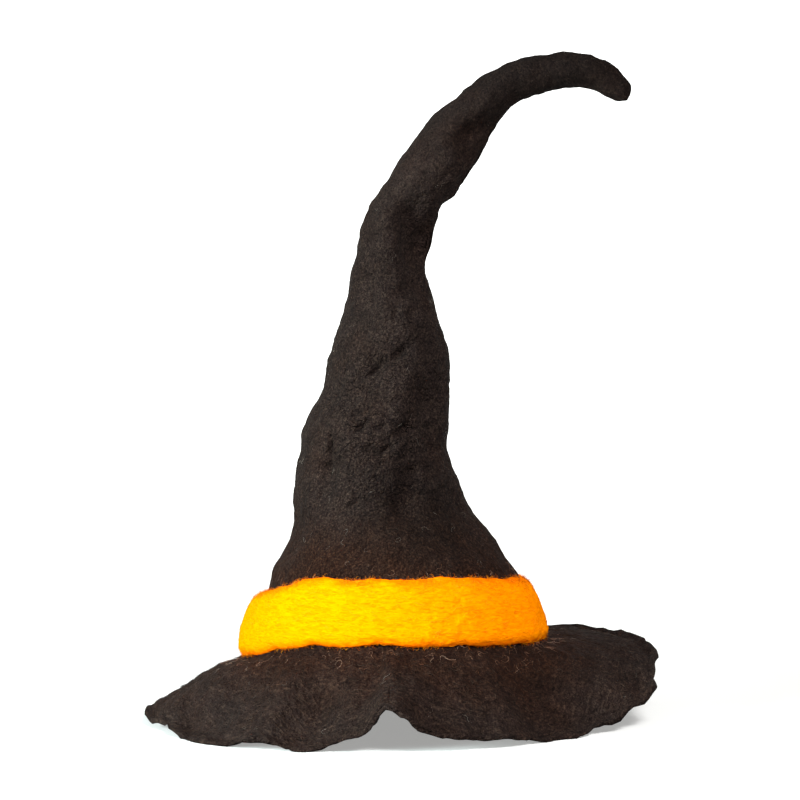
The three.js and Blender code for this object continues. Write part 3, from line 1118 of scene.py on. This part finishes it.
@dataclass
class Fuzzes:
    """All the loose fibres of the hat.

    Attributes:
        body: The crown and brim.
        band: The band.
        below: How far out from the band's lower edge stray curls lie.
        above: How far up from its upper edge they do.
    """

    body: Object
    band: Object
    below: float = 14 * MM
    above: float = 9 * MM

    # The fibres that are modelled, and copied over the felt.
    CURLS = (Strand(5, 2.4, 0.2, 0.5, 0.15), Strand(4, 1.2, 0.6, 0.4, 0.15),
             Strand(6, 0.6, 0.9, 0.5, 0.15), Strand(3.5, 3.4, 0.1, 0.6, 0.14),
             Strand(7, 3.0, 0.5, 0.6, 0.14), Strand(4.5, 0.3, 0.5, 0.4, 0.15))
    WAVES = (Strand(6, 0.3, 0.5, 0.4, 0.2), Strand(8, 0.5, 0.7, 0.4, 0.2),
             Strand(5, 0.9, 0.3, 0.4, 0.2), Strand(4, 1.6, 0.2, 0.5, 0.18))
    HAIRS = (Strand(3, 0.8, 0.3, 0.3, 0.12, 5, True), Strand(2.4, 1.4, 0.2, 0.3, 0.12, 5, True),
             Strand(4.5, 2.2, 0.5, 0.3, 0.1, 6, True))
    LOOPS = (Strand(14, 5.2, 0.3, 1.0, 0.1, 13), Strand(10, 3.0, 0.8, 0.8, 0.1, 13),
             Strand(16, 1.5, 1.1, 0.8, 0.1, 13), Strand(9, 4.2, 0.4, 0.9, 0.1, 13),
             Strand(12, 0.8, 0.7, 0.8, 0.1, 13), Strand(11, 2.2, 1.3, 0.9, 0.1, 13))

    # The pieces that they make.
    CROWN = Fuzz("crown_fuzz", "black_felt", WoolStrand("loose black wool", "#161010", "#4c4139", 0.87, 1.12),
                 30000, Lay.MATTED, 0.4, 0.9, 11)
    BRIM = Fuzz("brim_fuzz", "black_felt", WoolStrand("loose brim wool", "#19110f", "#493b32", 0.65, 1.2),
                62000, Lay.LOOSE, 0.7, 1.7, 23)
    STRAY = Fuzz("stray_curls", "orange_felt", WoolStrand("stray wool", "#8a5a40", "#d0a890"),
                 26000, Lay.MATTED, 0.4, 1.1, 53)
    PALE = Fuzz("pale_curls", "black_felt", WoolStrand("stray pale wool", "#6a6058", "#b0a69a"),
                1100, Lay.MATTED, 0.4, 0.9, 67)
    BAND = Fuzz("band_fuzz", "orange_felt", WoolStrand("loose orange wool", "#f08a00", "#ffa51c"),
                110000, Lay.COMBED, 0.5, 1.2, 37)
    # Partly painted shade: the darkest fringe fibres stand for the shadow at the band's edges; the paler ones
    # are the wool's own orange.
    FRINGE = Fuzz("band_fringe", "orange_felt", WoolStrand("loose deep orange wool", "#b44a00", "#ffa010"),
                  1900000, Lay.MATTED, 0.4, 1.2, 41, 0.1, 1.0)

    def build(self) -> None:
        """Scatter the fuzz of the crown, the brim and the band."""
        self.cover_body()
        self.cover_band()

    def cover_body(self) -> None:
        """Scatter the fibres of the crown and brim."""
        curls, loops = strand_set("wool_curl", self.CURLS), strand_set("wool_loop", self.LOOPS)
        places, normals = corners_of(self.body)
        height = places[:, 2]
        outside = self.open_air(places, normals)
        # Behind the band the crown's fuzz gives way to the brim's, which has none underneath.
        crown = outside * ease(height, 60 * MM, 72 * MM)
        brim = outside * ease(height, 70 * MM, 58 * MM) * (normals[:, 2] > -0.3) * (height > 2 * MM)
        # The wool lies thinner in the hollows.
        brim *= 1 - 0.75 * ease(FeltBody.dents(places), 0, 5 * MM)
        self.CROWN.scatter(self.body, crown, curls)
        self.BRIM.scatter(self.body, brim, curls)
        self.STRAY.scatter(self.body, self.by_the_band(places) * outside, loops)
        self.PALE.scatter(self.body, outside, loops)

    def cover_band(self) -> None:
        """Scatter the fibres of the band: combed along its face, and in tufts along its edges."""
        waves, hairs = strand_set("wool_wave", self.WAVES), strand_set("wool_hair", self.HAIRS)
        places, normals = corners_of(self.band)
        out = np.hypot(places[:, 0], places[:, 1])
        face = ease((normals[:, :2] * places[:, :2]).sum(axis=1) / out, 0, 1)
        turn = np.arctan2(places[:, 1], places[:, 0])
        tufts = 0.45 + 0.3 * np.sin(13 * turn + 1) + 0.25 * np.sin(31 * turn)
        edge = ease(np.abs(normals[:, 2]), 0.45, 0.75) * (face > 0.02) * tufts
        self.BAND.scatter(self.band, face, waves)
        self.FRINGE.scatter(self.band, edge, hairs)

    def by_the_band(self, places: np.ndarray) -> np.ndarray:
        """Find the felt just below and above the band.

        Args:
            places: The felt's corners.

        Returns:
            1 beside the band's lower edge and half of that beside the upper one, falling to 0 some way off.
        """
        spots, _ = corners_of(self.band)
        count = 72
        step = 2 * math.pi / count
        sector = (np.arctan2(spots[:, 1], spots[:, 0]) / step).astype(int) % count
        low, high, out = np.full(count, 1.0), np.zeros(count), np.zeros(count)
        np.minimum.at(low, sector, spots[:, 2])
        np.maximum.at(high, sector, spots[:, 2])
        np.maximum.at(out, sector, np.hypot(spots[:, 0], spots[:, 1]))
        mine = (np.arctan2(places[:, 1], places[:, 0]) / step).astype(int) % count
        beyond = np.hypot(places[:, 0], places[:, 1]) - out[mine]
        over = places[:, 2] - high[mine]
        below = ease(beyond, self.below, 0) * (beyond > -6 * MM) * (places[:, 2] < low[mine] + 2 * MM)
        above = ease(over, self.above, 0) * (over > -2 * MM)
        return below + 0.5 * above

    def open_air(self, places: np.ndarray, normals: np.ndarray) -> np.ndarray:
        """Find the outside of the felt wall.

        Args:
            places: The felt's corners.
            normals: Their normals.

        Returns:
            1 at a corner that looks out into the open and 0 at one that looks into the hat.
        """
        tree = BVHTree.FromObject(self.body, bpy.context.evaluated_depsgraph_get())
        off, far = 1 * MM, 250 * MM
        seen = [tree.ray_cast(Vector(place + normal * off), Vector(normal), far)[0] is None
                for place, normal in zip(places, normals)]
        return np.array(seen, dtype=float)


@dataclass(frozen=True)
class Lamp:
    """A soft square lamp.

    Attributes:
        name: The lamp's name.
        place: Where it stands.
        aim: What it faces.
        size: Its width and height.
        watts: Its power.
        colour: Its colour.
        spread: How wide its beam is, in degrees.
    """

    name: str
    place: Triple
    aim: Triple
    size: float
    watts: float
    colour: Triple = (1.0, 1.0, 1.0)
    spread: float = 180

    def build(self) -> None:
        """Set the lamp up."""
        data = bpy.data.lights.new(self.name, "AREA")
        data.spread = math.radians(self.spread)
        data.size = self.size
        data.color = self.colour
        data.energy = self.watts
        lamp = add_object(self.name, data)
        lamp.location = self.place
        lamp.rotation_euler = (Vector(self.aim) - Vector(self.place)).to_track_quat("-Z", "Y").to_euler()


@dataclass
class Studio:
    """The pale floor and backdrop, the lights and the camera.

    Attributes:
        aim: The point that the camera looks at.
        distance: How far the camera stands from it.
        pitch: How far the camera looks down, in degrees.
        lens: The lens in mm.
        sensor: The sensor's width in mm.
        floor: The floor's width and depth.
        floor_middle: How far back the floor's middle is.
        wall: The backdrop's height.
        curve: How far from their corner the floor and the backdrop start to curve.
        glow: The strength of the room's even light.
    """

    aim: Triple = (-0.0006, 0.0032, 0.2047)
    distance: float = 1.5
    pitch: float = 1.0
    lens: float = 103.86
    sensor: float = 36
    floor: float = 8
    floor_middle: float = -1.5
    wall: float = 4
    curve: float = 1.2
    glow: float = 0.34

    LAMPS = (
        Lamp("key light", (-1.2, -0.82, 0.4), (0.0, 0.0, 0.22), size=0.45, watts=52, colour=(0.84, 1.0, 1.0)),
        Lamp("fill light", (0.45, -1.2, 1.1), (0.03, -0.1, 0.06), size=0.5, watts=2.9, spread=50),
        Lamp("backdrop light", (0.0, 0.9, 1.7), (0.0, 2.8, 0.75), size=1.6, watts=75),
    )

    def build(self) -> None:
        """Set up the studio."""
        self.backdrop()
        for lamp in self.LAMPS:
            lamp.build()
        self.surroundings()
        self.camera()

    def backdrop(self) -> None:
        """Model a floor that curves up into a wall behind the hat."""
        bpy.ops.object.select_all(action="DESELECT")
        bpy.ops.mesh.primitive_plane_add(size=self.floor, location=(0, self.floor_middle, 0))
        sweep = bpy.context.active_object
        sweep.name = "studio_sweep"
        self.edit_corner(sweep)
        bpy.ops.mesh.extrude_region_move(TRANSFORM_OT_translate={"value": (0, 0, self.wall)})
        bpy.ops.object.mode_set(mode="OBJECT")
        self.edit_corner(sweep)
        bpy.ops.mesh.bevel(offset=self.curve, segments=24)
        bpy.ops.object.mode_set(mode="OBJECT")
        bpy.ops.object.shade_smooth()
        sweep.data.materials.append(FrostedSheet().material())
        # The sheet throws no light back on the hat, as a shaded table would, so the felt keeps its depth.
        sweep.visible_diffuse = False

    @staticmethod
    def edit_corner(sweep: Object) -> None:
        """Go into edit mode with the floor's far edge selected.

        Args:
            sweep: The floor, with or without its wall.
        """
        slack = 0.01
        far = max(v.co.y for v in sweep.data.vertices) - slack
        edit_where(sweep, Part.EDGE, lambda edge: all(
            sweep.data.vertices[i].co.y > far and sweep.data.vertices[i].co.z < slack for i in edge.vertices))

    def surroundings(self) -> None:
        """Fill the room with even white light."""
        world = bpy.data.worlds.new("studio room")
        world.use_nodes = True
        world.node_tree.nodes.clear()
        add = partial(add_node, world.node_tree)
        light = add("Background", {"Color": (1.0, 1.0, 1.0, 1.0), "Strength": self.glow})
        add("OutputWorld", {"Surface": light})
        bpy.context.scene.world = world

    def camera(self) -> None:
        """Place the camera where the photograph was taken from."""
        data = bpy.data.cameras.new("camera")
        data.lens = self.lens
        data.sensor_width = self.sensor
        eye = add_object("camera", data)
        dip = math.radians(self.pitch)
        eye.location = Vector(self.aim) + Vector((0, -math.cos(dip), math.sin(dip))) * self.distance
        eye.rotation_euler = (math.radians(90) - dip, 0, 0)
        bpy.context.scene.camera = eye
        bpy.context.scene.view_settings.view_transform = "Standard"


def main() -> None:
    """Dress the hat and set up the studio."""
    logging.basicConfig(level=logging.INFO, format="%(name)s: %(message)s")
    body = FeltBody().build(BlackFelt())
    band = FeltBand().build(OrangeFelt())
    Fuzzes(body, band).build()
    Studio().build()


if __name__ == "__main__":
    main()
